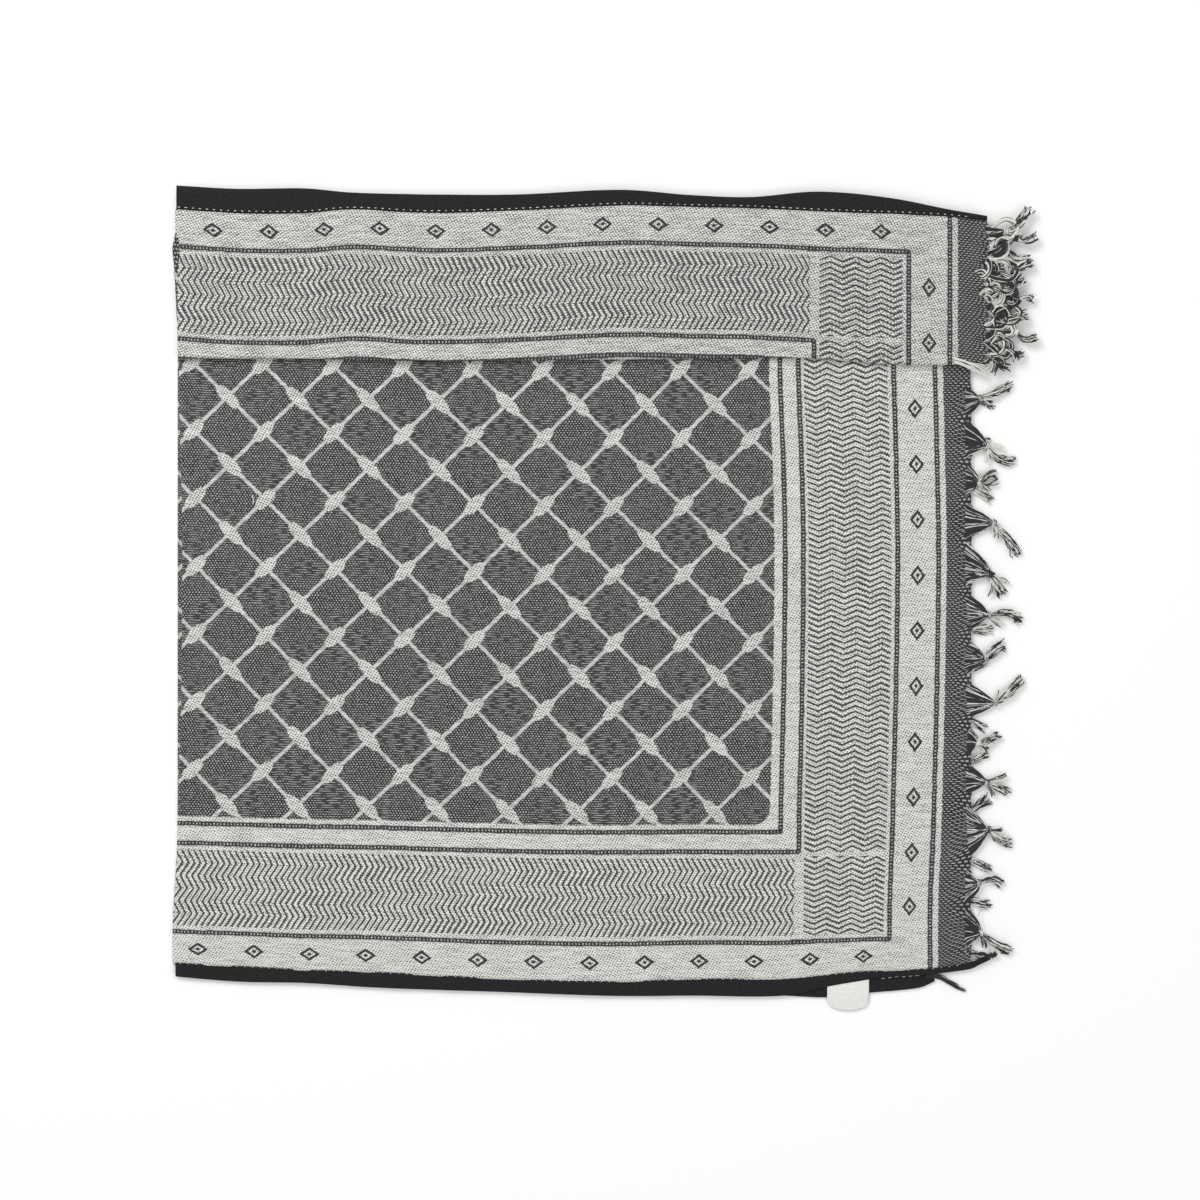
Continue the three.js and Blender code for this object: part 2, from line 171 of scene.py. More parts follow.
# %% A socket that can be added and multiplied
class Field:
    def __init__(self, tree, socket=None):
        self.tree = tree
        self.socket = socket

    def node(self, kind, settings=None, values=None, output=0):
        """A new node of any type: its settings first, then its sockets' values or links."""
        made = self.tree.nodes.new(kind)
        for name, value in (settings or {}).items():
            setattr(made, name, value)
        for name, value in (values or {}).items():
            if isinstance(value, Field):
                self.tree.links.new(value.socket, made.inputs[name])
            else:
                made.inputs[name].default_value = value
        return Field(self.tree, made.outputs[output])

    def sum(self, operation, *terms):
        return self.node("ShaderNodeMath", {"operation": operation}, dict(enumerate(terms)))

    def __add__(self, other):
        return self.sum("ADD", self, other)

    def __sub__(self, other):
        return self.sum("SUBTRACT", self, other)

    def __rsub__(self, other):
        return self.sum("SUBTRACT", other, self)

    def __mul__(self, other):
        return self.sum("MULTIPLY", self, other)

    def __truediv__(self, other):
        return self.sum("DIVIDE", self, other)

    __radd__ = __add__
    __rmul__ = __mul__

    def __abs__(self):
        return self.sum("ABSOLUTE", self)

    def over(self, other):
        """The larger of two masks."""
        return self.sum("MAXIMUM", self, other)

    def under(self, other):
        """The smaller of two masks."""
        return self.sum("MINIMUM", self, other)

    def rise(self, low, high):
        """0 below low, 1 above high."""
        values = {"Value": self, "From Min": low, "From Max": high}
        return self.node("ShaderNodeMapRange", {"interpolation_type": "SMOOTHSTEP"}, values)

    def near(self, middle, half, soft=0.35):
        """1 within half of middle, fading out over a soft edge."""
        return 1 - abs(self - middle).rise(half - soft, half + soft)

    def wave(self):
        """A cosine with one turn for each whole number."""
        return self.sum("COSINE", self * math.tau)

    def saw(self):
        """How far a number is from the nearest whole one, from -0.5 to 0.5."""
        return self.sum("WRAP", self, 0.5, -0.5)

    def triangle(self):
        """0 at even numbers and 1 at odd ones, with straight sides."""
        return self.sum("PINGPONG", self, 1.0)


def blend_colour(amount, first, second, how="MIX"):
    """Two colours mixed by a mask."""
    values = {0: amount, 6: first, 7: second}
    return amount.node("ShaderNodeMix", {"data_type": "RGBA", "blend_type": how}, values, 2)


def new_material(name, roughness):
    """A material with its shader's constant values set, and a Field to build on."""
    material = bpy.data.materials.new(name)
    material.use_nodes = True
    shader = material.node_tree.nodes["Principled BSDF"]
    shader.inputs["Roughness"].default_value = roughness
    shader.inputs["Specular IOR Level"].default_value = 0.25
    shader.inputs["Sheen Weight"].default_value = 0.06
    shader.inputs["Sheen Roughness"].default_value = 0.5
    return material, shader, Field(material.node_tree)


def connect(start, shader, colour, height, distance, strength=0.6):
    """Feed a colour and a bump height to a shader."""
    bump = start.node("ShaderNodeBump", None, {"Height": height, "Distance": distance, "Strength": strength})
    start.tree.links.new(colour.socket, shader.inputs["Base Color"])
    start.tree.links.new(bump.socket, shader.inputs["Normal"])


print("operators ready")

# %% [markdown]
# ## The woven cloth
# Each piece of cloth carries its own UV map in millimetres of the flat cloth: s from the centre
# fold, t from the seam with the selvage. The pattern is drawn straight on that flat cloth, and
# bends with the mesh when the cloth does, which is what a real weave does.
#
# An image could hold the pattern, but every part of it follows a rule: light lines at 45 degrees
# that cross in long knots, double dark lines, chevrons, zigzags. A rule stays sharp at any
# distance, and it can be read and changed.

# %% Sizes of the pattern, in millimetres of flat cloth
NET_PITCH = (52.96, 51.4)
NET_START = (11.4, 154.3)
NET_END = 451.0
NET_FOOT = 118.7
NET_CORNER = 13.0
NET_LINE = 1.3
KNOT_LONG = (9.7, 11.2)
KNOT_WIDE = 4.5
FRAME_LINES = [(459.1, 113.4), (473.0, 98.3), (544.7, 28.9)]
LINE_HALF = 2.1
LAST_LINE = 575.8
CHEVRONS = (34.2, 93.3)
CHEVRON_END = 468.5
CHEVRON_PITCH = 4.5
CHEVRON_TURN = 9.85
CHEVRON_REACH = 5.8
ZIGZAG = (477.0, 540.0)
ZIGZAG_PEAK = 494.7
ZIGZAG_TURN = 9.65
ZIGZAG_REACH = 4.1
ZIGZAG_PITCH = 4.26
END_BAND = 581.8
WORD_BAND_MIDDLE = 14.5
MOTIF_PITCH = 42.0
WEFTS_PER_MM = 0.574
LIGHT_YARN = (0.84, 0.835, 0.805, 1)
DARK_YARN = (0.018, 0.018, 0.021, 1)

# %% The weave's three textures
def light_weave(s, t, uneven):
    """Off-white floats with small dark dots on a slanting grid: 1 where the dark yarn shows."""
    grid = (s * 0.438 - t * 0.24).wave() + (s * 0.231 + t * 0.475).wave()
    return (grid + uneven).rise(0.05, 1.25)


def broken_rows(s, t, dash, shift, uneven, thin=0.0, scatter=0.0):
    """Level rows of dashes, a weft thread apart, each row shifted on the last: 1 where light."""
    row = t.sum("FLOOR", t * WEFTS_PER_MM)
    dashes = (s * dash + row * (row * scatter + shift)).wave() + uneven
    return (t * WEFTS_PER_MM - 0.5).wave().rise(thin - 0.6, thin + 0.5) * dashes.rise(-0.25 - thin, 0.55 - thin)


def dark_weave(s, t, patchy, uneven):
    """Charcoal ground with light dots, which run into level streaks in places: 1 where light."""
    dots = broken_rows(s, t, 0.44, 0.46, uneven)
    return dots * (1 - patchy) + broken_rows(s, t, 0.075, 0.37, uneven, 0.6, 0.29) * patchy


# %% The pattern, band by band
def net(s, t):
    """The light net: lines both ways, with a long knot at each crossing."""
    across = (s - NET_START[0]) / NET_PITCH[0]
    up = (t - NET_START[1]) / NET_PITCH[1]
    gap = NET_PITCH[0] / math.sqrt(2)
    lines = ((across - up).saw() * gap).near(0, NET_LINE).over(((across + up).saw() * gap).near(0, NET_LINE))
    knots = None
    for shift, length, lean in ((0.0, KNOT_LONG[0], 1), (0.5, KNOT_LONG[1], -1)):
        x = (across - shift).saw() * NET_PITCH[0]
        y = (up - shift).saw() * NET_PITCH[1] * lean
        long_way = abs(x + y) * (0.7071 / length)
        wide_way = abs(x - y) * (0.7071 / KNOT_WIDE)
        shape = long_way.sum("POWER", long_way, 2.2) + wide_way.sum("POWER", wide_way, 2.6)
        knot = 1 - shape.rise(0.82, 1.12)
        knots = knot if knots is None else knots.over(knot)
    return lines, knots


def double_line(distance, place_along):
    """A dark line of two rows, with light dots between them: 1 where dark."""
    dots = distance.near(0, 0.6, 0.35) * (place_along * 0.385).wave().rise(0.1, 0.8) * 0.8
    return distance.near(0, LINE_HALF - 0.2, 0.6) * (1 - dots)


def chevrons(s, t):
    """Herringbone along the border, its points towards the tassels: 1 where dark."""
    turn = ((CHEVRONS[1] - t) / CHEVRON_TURN).triangle()
    stroke = ((s - turn * CHEVRON_REACH) / CHEVRON_PITCH).saw().near(0, 0.19, 0.06)
    steps_up = (t * WEFTS_PER_MM).wave().rise(-1.6, -0.7)
    middle = (CHEVRONS[0] + CHEVRONS[1]) / 2
    half = (CHEVRONS[1] - CHEVRONS[0]) / 2
    return stroke * steps_up * t.near(middle, half) * s.sum("LESS_THAN", s - turn * 4, CHEVRON_END)


def zigzags(s, t):
    """Zigzag rows between the two tall lines, with a plain gap level with the chevrons' top."""
    turn = ((s - ZIGZAG_PEAK) / ZIGZAG_TURN + 1).triangle()
    stroke = ((t - turn * ZIGZAG_REACH) / ZIGZAG_PITCH).saw().near(0, 0.19, 0.06)
    steps_along = (s * 0.45).wave().rise(-1.6, -0.7)
    middle = (ZIGZAG[0] + ZIGZAG[1]) / 2
    half = (ZIGZAG[1] - ZIGZAG[0]) / 2
    rows = t.rise(CHEVRONS[0] - 0.5, CHEVRONS[0]) * (1 - t.near(CHEVRONS[1] + 3.0, 1.6))
    return stroke * steps_along * s.near(middle, half) * rows


def motifs(s, t):
    """Small stepped diamonds along the plain bands, in place of any lettering: 1 where dark."""
    along_foot = ((s - 20) / MOTIF_PITCH).saw() * MOTIF_PITCH
    size = abs(along_foot) * 0.75 + abs(t - WORD_BAND_MIDDLE)
    foot = size.near(4.6, 1.2, 0.3).over(size.near(0, 1.5, 0.3)) * (1 - s.rise(545, 546))
    along_side = ((t - 55) / MOTIF_PITCH).saw() * MOTIF_PITCH
    size = abs(along_side) * 0.75 + abs(s - 560)
    side = size.near(4.6, 1.2, 0.3).over(size.near(0, 1.5, 0.3)) * t.rise(36, 37)
    return foot.over(side)


def woven_cloth():
    """The whole woven pattern as one material."""
    material, shader, start = new_material("woven_cloth", 0.88)
    uv = start.node("ShaderNodeUVMap", {"uv_map": "Cloth"})
    drift = start.node("ShaderNodeTexNoise", None, {"Vector": uv, "Scale": 0.12, "Detail": 3.0}, 1)
    split = start.node("ShaderNodeSeparateXYZ", None, {"Vector": uv})
    moved = start.node("ShaderNodeSeparateXYZ", None, {"Vector": drift})
    up = Field(start.tree, split.socket.node.outputs[1])
    fine = start.node("ShaderNodeTexNoise", None, {"Vector": uv, "Scale": 0.7, "Detail": 0.0})
    s = split + (moved - 0.5) * 1.6 + (fine - 0.5) * 0.9
    t = up + (Field(start.tree, moved.socket.node.outputs[1]) - 0.5) * 1.6 + (fine - 0.5) * 0.7
    coarse = start.node("ShaderNodeTexNoise", None, {"Vector": uv, "Scale": 0.03, "Detail": 3.0})
    patchy = coarse.rise(0.46, 0.62) * 0.8

    # The lattice's ground is a rectangle with a rounded corner.
    in_x = (s - (NET_END - NET_CORNER)).over(0.0)
    in_y = ((NET_FOOT + NET_CORNER) - t).over(0.0)
    reach = (in_x * in_x + in_y * in_y).sum("SQRT", in_x * in_x + in_y * in_y)
    ground = 1 - reach.rise(NET_CORNER - 0.4, NET_CORNER + 0.4)
    lines, knots = net(s, t)
    dark_ground = ground * (1 - lines.over(knots))
    end = s.rise(END_BAND - 0.4, END_BAND + 0.4)

    dark_lines = double_line(s - LAST_LINE, t)
    for side, foot in FRAME_LINES:
        tall = double_line(s - side, t) * t.rise(foot - 1.2, foot - 0.6)
        level = double_line(t - foot, s) * (1 - s.rise(side + 0.6, side + 1.2))
        dark_lines = dark_lines.over(tall).over(level)
    drawn = dark_lines.over(chevrons(s, t)).over(zigzags(s, t)).over(motifs(s, t))

    # The straight lines of the net are smooth floats, with only a faint slanting hatch.
    smooth_line = ground * lines * (1 - knots)
    hatch = ((s - t) * 0.42).wave().rise(-0.2, 1.2) * 0.3
    tight = start.node("ShaderNodeAttribute", {"attribute_name": "tight"}, None, 2)
    uneven = (fine - 0.5) * 1.5 + tight * 0.45
    dots = light_weave(s, t, uneven + ground * knots * 0.3) * (1 - smooth_line) + (hatch + 0.34) * smooth_line

    # Uneven yarn: a fine grain, and rows of weft that are tighter or slacker than the next.
    grain = start.node("ShaderNodeTexNoise", None, {"Vector": uv, "Scale": 1.1, "Detail": 2.0})
    flat_rows = start.node("ShaderNodeCombineXYZ", None, {0: split * 0.05, 1: up * 0.62})
    rows = start.node("ShaderNodeTexNoise", None, {"Vector": flat_rows, "Scale": 1.0, "Detail": 2.0})
    slack = rows.rise(0.36, 0.62)
    dots = dots * (1.12 - slack * 0.42)
    between_rows = (t * WEFTS_PER_MM).wave().rise(0.2, 1.0) * (0.22 + tight * 0.14)
    inked = drawn * (0.84 + grain * 0.3)
    light_part = (1 - inked.over(dots.under(1.0) * 0.88)) * (1 - between_rows * (1 - smooth_line))
    white = light_part * (1 - dark_ground) * (1 - end)
    white = white + dark_weave(s, t, patchy, uneven - tight * 0.45) * dark_ground * 0.55
    straight = (split, up + (t - up) * 0.35)
    white = white + broken_rows(*straight, 0.31, 0.44, uneven - tight * 0.45, 0.4) * end * 0.50
    tone = (white * (0.40 + grain * 0.92 + slack * 0.16)).under(1.0)
    colour = blend_colour(tone, DARK_YARN, LIGHT_YARN)
    colour = blend_colour(coarse.rise(0.3, 0.75) * 0.08, colour, (0.25, 0.25, 0.25, 1))
    height = (s * 1.15).wave() * 0.3 + (t * 1.15).wave() * 0.3 + grain + rows * 0.6
    connect(start, shader, colour, height, 0.0004)
    return material


cloth = woven_cloth()
print("woven cloth:", len(cloth.node_tree.nodes), "nodes")

# %% [markdown]
# ## Selvage, yarn and label
# The selvage is plain black cloth, a narrow rib with a little lint on it. The yarns of the fringe
# are black or off-white singles, told apart by an attribute that the tassels store on each yarn.
# The label is a smooth white tape, left bare.

# %% Three smaller finishes
def black_selvage():
    material, shader, start = new_material("black_selvage", 0.9)
    uv = start.node("ShaderNodeUVMap", {"uv_map": "Cloth"})
    split = start.node("ShaderNodeSeparateXYZ", None, {"Vector": uv})
    up = Field(start.tree, split.socket.node.outputs[1])
    grain = start.node("ShaderNodeTexNoise", None, {"Vector": uv, "Scale": 0.9, "Detail": 4.0})
    rib = (up * 0.9).wave() * 0.5 + (split * 0.7).wave() * 0.2
    colour = blend_colour(grain.rise(0.35, 0.8), (0.006, 0.006, 0.007, 1), (0.026, 0.026, 0.030, 1))
    connect(start, shader, colour, rib * 0.6 + grain, 0.0003)
    return material


def fringe_yarn():
    material, shader, start = new_material("fringe_yarn", 0.85)
    tone = start.node("ShaderNodeAttribute", {"attribute_name": "tone"}, None, 2)
    length = start.node("ShaderNodeAttribute", {"attribute_name": "length"}, None, 2)
    place_in = start.node("ShaderNodeTexCoord", None, None, 3)
    grain = start.node("ShaderNodeTexNoise", None, {"Vector": place_in, "Scale": 900.0, "Detail": 3.0})
    light = blend_colour(grain, (0.50, 0.495, 0.46, 1), (0.86, 0.85, 0.81, 1))
    black = blend_colour(grain, (0.008, 0.008, 0.01, 1), (0.05, 0.05, 0.055, 1))
    colour = blend_colour(tone.rise(0.45, 0.55), black, light)
    connect(start, shader, colour, (length * 900).wave() * 0.4 + grain, 0.0002)
    return material


def label_cloth():
    material, shader, start = new_material("label_cloth", 0.6)
    uv = start.node("ShaderNodeUVMap", {"uv_map": "Cloth"})
    split = start.node("ShaderNodeSeparateXYZ", None, {"Vector": uv})
    up = Field(start.tree, split.socket.node.outputs[1])
    weave = (split * 1.6).wave() * 0.3 + (up * 1.6).wave() * 0.3
    grain = start.node("ShaderNodeTexNoise", None, {"Vector": uv, "Scale": 0.25, "Detail": 4.0})
    colour = blend_colour(grain, (0.66, 0.66, 0.63, 1), (0.84, 0.84, 0.81, 1))
    connect(start, shader, colour, weave + grain, 0.00012)
    return material


selvage, yarn, tape = black_selvage(), fringe_yarn(), label_cloth()
print("finishes:", [m.name for m in bpy.data.materials if m.users or m.use_nodes])

# %% [markdown]
# ## Thin cloth from a rule
# Each stretch of cloth is a grid over the flat cloth. A function says where the point (s, t) of
# the flat cloth lies on the table, and Solidify gives the sheet its wall. A cloth simulation
# could settle it, but this scarf was smoothed flat by hand, so its few creases are listed.

# %% A sheet of cloth
def sheet_of_cloth(name, s_values, t_values, point, material, wall=WALL):
    """A grid of cloth: point(s, t) gives the place (x, y, z) and the pattern's (s, t)."""
    width = len(s_values)
    spots = [point(s, t) for t in t_values for s in s_values]
    faces = []
    for row in range(len(t_values) - 1):
        for column in range(width - 1):
            corner = row * width + column
            faces.append((corner, corner + 1, corner + width + 1, corner + width))
    mesh = bpy.data.meshes.new(name)
    mesh.from_pydata([place(*spot[:3]) for spot in spots], [], faces)
    flat = mesh.uv_layers.new(name="Cloth")
    for loop in mesh.loops:
        flat.data[loop.index].uv = spots[loop.vertex_index][3:]
    mesh.shade_smooth()
    mesh.materials.append(material)
    piece = bpy.data.objects.new(name, mesh)
    bpy.context.scene.collection.objects.link(piece)
    walls = piece.modifiers.new("wall", "SOLIDIFY")
    walls.thickness = wall / 1000
    walls.offset = 0
    print(name, len(faces), "faces of cloth")
    return piece


# %% [markdown]
# The creases are soft ridges where the scarf was once folded smaller, with low puckers between
# them. They fade out under the turned-over strip, where its weight presses the cloth flat.

# %% Creases and puckers
CREASES = [(90, 0.75, 7), (197, 0.25, 9), (300, 0.3, 22), (452, 0.4, 30)]


def relief(x, y):
    """How far the cloth stands off its flat place."""
    height = 0
    for middle, rise, width in CREASES:
        bend = 4 * math.sin(y / 83 + middle)
        height += rise * math.exp(-(((x - middle - bend) / width) ** 2))
    pucker = math.sin(x / 17 + 1.7 * math.sin(y / 41)) * math.sin(y / 23 + 1.3 * math.sin(x / 37))
    return height + 0.16 * (1 + pucker)


print("tallest crease", max(rise for _, rise, _ in CREASES), "mm")

# %% [markdown]
# ## The front half
# The largest piece. It turns down round the centre fold at its left, and its pattern wanders a
# millimetre or three, as hand-pulled cloth does: the tall lines lean, and the seam sags.

# %% Where the tassels gather the cloth
FRONT_TASSELS = [
    # low, high, knot x, knot y, tip x, tip y
    (429, 455, 606.8, 444.7, 631.5, 455.0),
    (397, 429, 612.1, 407.6, 634.0, 396.5),
    (366, 397, 606.1, 379.3, 619.5, 386.0),
    (336, 366, 617.4, 350.0, 637.0, 325.0),
    (300, 336, 615.2, 310.6, 625.0, 296.0),
    (265, 299, 613.6, 280.3, 639.0, 276.0),
    (232, 264, 611.4, 247.0, 626.0, 257.6),
    (200, 231, 618.5, 213.6, 640.0, 233.0),
    (171, 199, 604.8, 183.3, 622.0, 190.0),
    (142, 170, 611.4, 153.8, 629.0, 146.0),
    (92, 141, 613.6, 118.2, 632.0, 108.0),
    (61, 90, 605.8, 78.0, 625.8, 76.0),
    (24, 60, 607.3, 39.4, 631.6, 25.0),
]
GATHER_WIDTH = 13.0


def gathered(tassels, edge, s, y):
    """How a tassel draws the cloth's end out towards its knot: the shift in x and in y."""
    pull = smooth(edge - GATHER_WIDTH, edge, s)
    for low, high, knot_x, knot_y, _, _ in tassels:
        if low < y < high:
            off = abs(2 * (y - low) / (high - low) - 1)
            out = 0.95 * (knot_x - edge) * (1 - off**0.85)
            return out * pull, (knot_y - y) * 0.62 * (1 - off**3) * pull
    return 0.0, 0.0


print(len(FRONT_TASSELS), "front tassels")

# %% The front cloth
SEAM_REST = 2.5
TURN = 1.5
TAIL = 0.4
TALL_LINES = {
    "y": [0, 64, 114, 230, 330, 400, 462],
    "inner": [-2.5, -2.6, -2.6, -0.8, 0.0, -1.2, -3.3],
    "outer": [-6.1, -6.1, -4.0, -1.2, 0.0, -1.2, -2.6],
}


def sag(x, t):
    """How much the lower seam's waves still move the cloth at t."""
    kept = 0.5 - 0.4 * smooth(200, 480, x)
    share = kept + (1 - kept) * math.exp(-max(t, 0) / 30)
    return (along(LOWER_BORDER, "seam", x) - SEAM_REST) * share


def lean(s, y):
    """How far the tall lines stray sideways."""
    inner = along(TALL_LINES, "inner", y) * smooth(300, 450, s)
    outer = along(TALL_LINES, "outer", y)
    share = smooth(475, 572, s)
    return (inner * (1 - share) + outer * share) * (1 - smooth(585, 600, s))


def front_point(s, share):
    quarter = TAIL + TURN * math.pi / 2
    top = along(TURNED_EDGE, "y", s) + 5
    t = share * (top - SEAM_REST - sag(s, 400))
    y = SEAM_REST + t + sag(s, t)
    fold = along(FRONT_FOLD, "x", y)
    if s < TAIL:
        return fold, y, FRONT_MIDDLE - TURN - TAIL + s, s, t
    if s < quarter:
        angle = (s - TAIL) / TURN
        height = FRONT_MIDDLE - TURN + TURN * math.sin(angle)
        return fold + TURN * (1 - math.cos(angle)), y, height, s, t
    flat = (s - quarter) / (FOLDED_WIDTH - quarter)
    x = fold + TURN + (FOLDED_WIDTH - fold - TURN) * flat + lean(s, y)
    calm = smooth(0, 14, s) * (1 - smooth(430, 462, y))
    out, up = gathered(FRONT_TASSELS, FOLDED_WIDTH, s, y)
    return x + out, y + up, FRONT_MIDDLE + relief(x, y) * calm, s, t


turn_steps = [0, TAIL] + [TAIL + TURN * math.pi / 2 * i / 6 for i in range(1, 7)]
front_columns = turn_steps + steps(6, 586, 4.5) + steps(588, FOLDED_WIDTH, 1.5)
front_cloth = sheet_of_cloth("front_cloth", front_columns, steps(0, 1, 1 / 175), front_point, cloth)

# %% [markdown]
# ## The turned-over strip
# The upper border lies face up on the pleats. In section it is a J: flat on top, round at the
# nose, and a short lip turned under. Its t runs from the upper seam, so the same material gives
# it the same border, mirrored.

# %% The strip
STRIP_TASSELS = [
    (558, 573, 626, 570.0, 645.5, 588.0),
    (546, 562, 634, 565.0, 650.5, 567.0),
    (538, 552, 625, 556.0, 645.0, 551.0),
    (526, 542, 629, 541.0, 646.0, 548.0),
    (515, 530, 623, 528.0, 640.0, 536.0),
    (504, 518, 631, 515.0, 648.0, 519.0),
    (494, 508, 624, 503.0, 643.0, 506.0),
    (484, 498, 634, 494.0, 650.0, 491.0),
    (476, 488, 622, 483.0, 640.0, 478.0),
    (472, 480, 616, 474.0, 630.0, 468.0),
]
LIP = 3.5
STRIP_SHIFT = 8.0


def strip_top(x):
    """Height of the strip's middle surface: it slopes down a little towards the tassels."""
    return 6.8 - 0.0015 * x + 0.9


def strip_point(s, share):
    seam = along(UPPER_BORDER, "seam", s)
    edge = along(TURNED_EDGE, "y", s)
    radius = (strip_top(s) - LIP_MIDDLE) / 2
    flat, nose = seam - edge - radius, math.pi * radius
    run = share * (flat + nose + LIP)
    if run <= flat:
        y, z = seam - run, strip_top(s)
    elif run <= flat + nose:
        angle = (run - flat) / radius
        y = edge + radius - radius * math.sin(angle)
        z = LIP_MIDDLE + radius + radius * math.cos(angle)
    else:
        y, z = edge + radius + run - flat - nose, LIP_MIDDLE
    fold = along(STRIP_FOLD, "x", y)
    x = fold + s * (STRIP_END - fold) / STRIP_END
    calm = smooth(0, 20, flat - run) * smooth(0, 14, s) * smooth(0, 12, run)
    drop = 1.2 * (1 - smooth(0, 4, s)) ** 2
    ragged = 2.2 * math.sin(y / 1.9) + 1.8 * math.sin(y / 4.7 + 1)
    x += ragged * smooth(STRIP_END - GATHER_WIDTH, STRIP_END, s)
    return x, y, z + relief(x, y) * calm - drop, s - STRIP_SHIFT, run


strip_rows = steps(0, 0.9, 0.9 / 32) + steps(0.906, 1, 0.0065)
strip_cloth = sheet_of_cloth(
    "strip_cloth", [0, 0.8, 1.6, 2.6] + steps(4, 598, 4.5) + steps(600, STRIP_END, 1.5), strip_rows,
    strip_point, cloth
)
tight = strip_cloth.data.attributes.new("tight", "FLOAT", "POINT")
tight.data.foreach_set("value", [1.0] * len(strip_cloth.data.vertices))

# %% [markdown]
# ## The hidden layers
# The back half lies flat on the table and shows only from below. On it the upper part of the
# cloth goes to and fro in pleats, whose round folds show at the ends and along the top. One long
# sheet in a serpentine makes them: straight passes, joined by half turns.

# %% The back cloth
PLEAT_INSET = 4.0


def back_point(s, share):
    seam = along(BACK_BORDER, "seam", s)
    y = seam + share * (along(UPPER_BORDER, "seam", s) - PLEAT_INSET - seam)
    return s, y, BACK_MIDDLE, s, y - seam


back_cloth = sheet_of_cloth("back_cloth", steps(0, BACK_WIDTH, 9), steps(0, 1, 1 / 60), back_point, cloth)

# %% The pleats
PLEAT_START = 7.5
PLEAT_END = 606.0
PLEAT_PASSES = 4
PLEAT_WALL = 0.9
LOWEST_PLEAT = 1.9
pleat_path = []
for layer in range(PLEAT_PASSES):
    upward = layer % 2 == 0
    pleat_path += [(layer, share if upward else 1 - share, 0.0) for share in (0, 0.25, 0.5, 0.75, 1)]
    if layer < PLEAT_PASSES - 1:
        out = 1 if upward else -1
        for turn in (30, 60, 90, 120, 150):
            angle = math.radians(turn)
            height = layer + 0.5 - 0.5 * math.cos(angle)
            pleat_path.append((height, 1 if upward else 0, out * math.sin(angle) * 0.65))


def pleat_point(s, step):
    height, share, out = pleat_path[round(step)]
    low = along(TURNED_EDGE, "y", s) + PLEAT_START
    high = along(UPPER_BORDER, "seam", s) - PLEAT_INSET + 0.2 * height
    y = low + share * (high - low) + out
    top = 6.8 - 0.0015 * s - 0.55
    z = LOWEST_PLEAT + (top - LOWEST_PLEAT) * height / (PLEAT_PASSES - 1)
    fold = along(PLEAT_FOLD, "x", y) + 0.35 * height
    x = fold + s * (PLEAT_END - fold) / PLEAT_END
    return x, y, z, s, 160 + step * 14


pleats = sheet_of_cloth(
    "pleats", steps(0, PLEAT_END, 6), range(len(pleat_path)), pleat_point, cloth, PLEAT_WALL
)

# %% [markdown]
# ## The black selvages
# Each is the same sheet with another border and height: a narrow band, a little fuller in its
# middle, that overlaps the patterned cloth by less than a millimetre along the seam.

# %% Selvages
def selvage_band(name, border, height, x_low, x_high, outward=-1, tuck=0.7):
    """A plain black band between a border's free edge and its seam."""

    def point(x, share):
        edge = along(border, "edge", x)
        seam = along(border, "seam", x) - outward * tuck
        y = edge + (seam - edge) * share
        crown = 0.45 * math.sin(math.pi * share) + 0.22 * math.sin(x / 11 + 2 * math.sin(x / 29))
        z = height(x) + (crown + 0.25 * share) * smooth(0.05, 0.3, height(x) - BACK_MIDDLE)
        return x, y, z, x, (y - edge) * 1.0

    return sheet_of_cloth(name, steps(x_low, x_high, 4), steps(0, 1, 0.125), point, selvage)


front_band = selvage_band("front_band", LOWER_BORDER, lambda x: FRONT_MIDDLE, -1.5, FOLDED_WIDTH + 15)
strip_band = selvage_band("strip_band", UPPER_BORDER, strip_top, 0, STRIP_END, outward=1)
back_band = selvage_band("back_band", BACK_BORDER, lambda x: BACK_MIDDLE, 0, BACK_WIDTH, tuck=0)

# %% [markdown]
# ## The label
# A short tape, sewn under the front selvage at the lower right, with rounded corners. It carries
# no words here.

# %% The label
LABEL_LEFT, LABEL_RIGHT = 491.7, 523.3
LABEL_SIDE, LABEL_LOWEST = -12.3, -19.5


def label_point(across, share):
    x = LABEL_LEFT + (LABEL_RIGHT - LABEL_LEFT) * across
    top = -0.8 + 5.4 * across
    round_end = math.sqrt(max(0, 1 - (2 * across - 1) ** 2))
    low = LABEL_SIDE + (LABEL_LOWEST - LABEL_SIDE) * round_end
    y = low + (top - low) * share
    return x, y, 0.65 + 1.2 * smooth(0.0, 0.55, share), x, y


label_piece = sheet_of_cloth("label_tape", steps(0, 1, 1 / 24), steps(0, 1, 1 / 16), label_point, tape, 0.8)

# %% [markdown]
# ## Tassels from guide lines
# At the cloth's end the warp yarns are gathered, knotted and left loose. Every tassel has the
# same build, so it suits Geometry Nodes. Each guide is a smooth line from the cloth's edge
# through the knot to the tip, and each of its points says how wide the bundle is there and
# which way it spreads. The tree copies a guide once for each yarn, fans the copies out, lets
# them stray a little, and sweeps a small round section along them.

# %% The yarn tree
def inputs_of(tree, sizes):
    """Named inputs for a Geometry Nodes tree, with one geometry in and one out."""
    tree.interface.new_socket("Geometry", in_out="INPUT", socket_type="NodeSocketGeometry")
    for name, kind in sizes:
        tree.interface.new_socket(name, in_out="INPUT", socket_type="NodeSocket" + kind)
    tree.interface.new_socket("Geometry", in_out="OUTPUT", socket_type="NodeSocketGeometry")
    entry = tree.nodes.new("NodeGroupInput")
    return {socket.name: Field(tree, socket) for socket in entry.outputs if socket.name}


